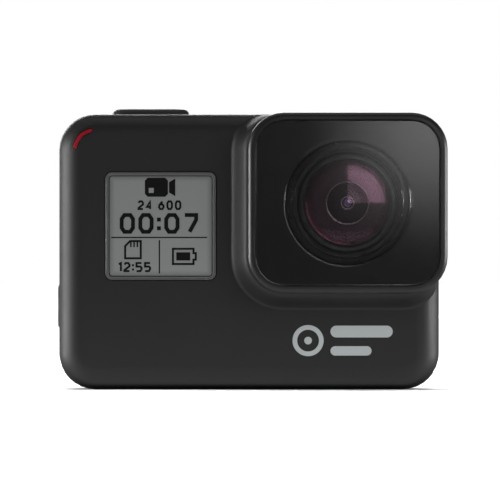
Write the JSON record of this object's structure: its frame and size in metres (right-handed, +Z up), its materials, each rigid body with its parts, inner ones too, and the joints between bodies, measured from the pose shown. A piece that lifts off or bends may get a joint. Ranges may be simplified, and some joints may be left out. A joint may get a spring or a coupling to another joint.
{
  "type": "action camera",
  "caption": "Pocket-size waterproof action camera with a square twist-off lens cover, front status screen, rear touch screen, top and side buttons, and hinged battery and port doors.",
  "frame": {"origin": "under the middle of the whole camera's box, on the plane that it stands on", "axes": "+X to the right seen from the front, the lens looks along -Y, +Z up"},
  "size_m": [0.0626, 0.033, 0.0451],
  "materials": {
    "housing": "soft-touch dark grey plastic with a fine even grain",
    "housing_trim": "dark grey plastic, slightly smoother than the housing",
    "button": "dark grey satin plastic",
    "cover_frame": "dark grey satin plastic frame with a rounded rim",
    "cover_glass": "clear flat cover glass with a black backing round the lens window",
    "seal_rubber": "black silicone rubber",
    "gloss_trim": "polished black plastic",
    "lcd_window": "grey reflective status screen under a clear window",
    "display": "dark display module",
    "screen_glass": "glossy black touch screen glass",
    "status_light": "red translucent light guide",
    "lens_black": "black anodised finish with fine turned lines",
    "lens_glass": "glass with a magenta and violet anti-reflection coating",
    "sensor_glass": "dark sensor cover glass",
    "inner_plastic": "plain dark moulded plastic",
    "battery_case": "matt grey plastic battery case",
    "pull_tab": "blue film pull tab",
    "contact_gold": "gold plated contacts",
    "bright_metal": "bright stamped steel",
    "chip": "black moulded package",
    "board": "green solder mask over glass fibre board",
    "flex": "amber flexible circuit",
    "frame_metal": "plain cast light metal"
  },
  "bodies": {
    "housing": {"front_shell": "housing", "rear_shell": "housing", "rear_gasket": "seal_rubber", "shutter_button_seal": "seal_rubber", "mode_button_seal": "seal_rubber", "lcd_bezel": "gloss_trim", "lcd_window": "lcd_window", "lcd_panel": "display", "rear_screen_glass": "screen_glass", "rear_screen_panel": "display", "status_light_guide": "status_light", "status_led": "chip", "lens_bezel_ring": "gloss_trim", "lens_barrel": "lens_black", "lens_inner_ring": "lens_black", "lens_holder": "lens_black", "lens_front_element": "lens_glass", "lens_rear_element": "lens_glass", "image_sensor": "sensor_glass", "battery_bay": "inner_plastic", "battery": "battery_case", "battery_pull_tab": "pull_tab", "battery_contacts": "contact_gold", "card_socket": "bright_metal", "memory_card": "chip", "usb_port": "bright_metal", "hdmi_port": "bright_metal", "shutter_switch": "bright_metal", "mode_switch": "bright_metal", "microphone_top": "bright_metal", "microphone_side": "bright_metal", "battery_door_pin": "bright_metal", "side_door_pin": "bright_metal", "speaker": "chip", "processor": "chip", "main_board": "board", "sensor_board": "board", "port_board": "board", "sensor_flex_cable": "flex", "wifi_antenna": "flex", "inner_frame": "frame_metal", "heat_spreader": "frame_metal", "frame_screw_1": "bright_metal", "frame_screw_2": "bright_metal", "frame_screw_3": "bright_metal", "frame_screw_4": "bright_metal"},
    "shutter_button": {"shutter_button": "button"},
    "mode_button": {"mode_button": "button"},
    "battery_door": {"battery_door": "housing", "battery_door_seal": "seal_rubber"},
    "battery_door_latch": {"battery_door_latch": "housing_trim"},
    "side_door": {"side_door": "housing", "side_door_seal": "seal_rubber"},
    "side_door_latch": {"side_door_latch": "housing_trim"},
    "lens_cover_seal": {"lens_cover_seal": "seal_rubber"},
    "lens_cover": {"lens_cover_frame": "cover_frame", "lens_cover_glass": "cover_glass"}
  },
  "joints": [
    {"name": "shutter_press", "type": "slide", "parent": "housing", "child": "shutter_button", "axis": [0, 0, -1], "range_m": [0, 0.0005], "stiffness_N_per_m": 3000},
    {"name": "mode_press", "type": "slide", "parent": "housing", "child": "mode_button", "axis": [1, 0, 0], "range_m": [0, 0.0004], "stiffness_N_per_m": 3000},
    {"name": "battery_door_swing", "type": "hinge", "parent": "housing", "child": "battery_door", "pos_m": [-0.02703, 0, 0.00127], "axis": [0, 1, 0], "range_deg": [0, 95]},
    {"name": "battery_latch_slide", "type": "slide", "parent": "battery_door", "child": "battery_door_latch", "axis": [-1, 0, 0], "range_m": [0, 0.0009], "stiffness_N_per_m": 400},
    {"name": "side_door_swing", "type": "hinge", "parent": "housing", "child": "side_door", "pos_m": [0.02875, 0, 0.004], "axis": [0, 1, 0], "range_deg": [0, 100]},
    {"name": "side_latch_slide", "type": "slide", "parent": "side_door", "child": "side_door_latch", "axis": [0, 0, -1], "range_m": [0, 0.0009], "stiffness_N_per_m": 400},
    {"name": "lens_cover_twist", "type": "hinge", "parent": "housing", "child": "lens_cover_seal", "pos_m": [0.01528, -0.01, 0.02995], "axis": [0, -1, 0], "range_deg": [0, 90]},
    {"name": "lens_cover_pull", "type": "slide", "parent": "lens_cover_seal", "child": "lens_cover", "axis": [0, -1, 0], "range_m": [0, 0.008]}
  ]
}
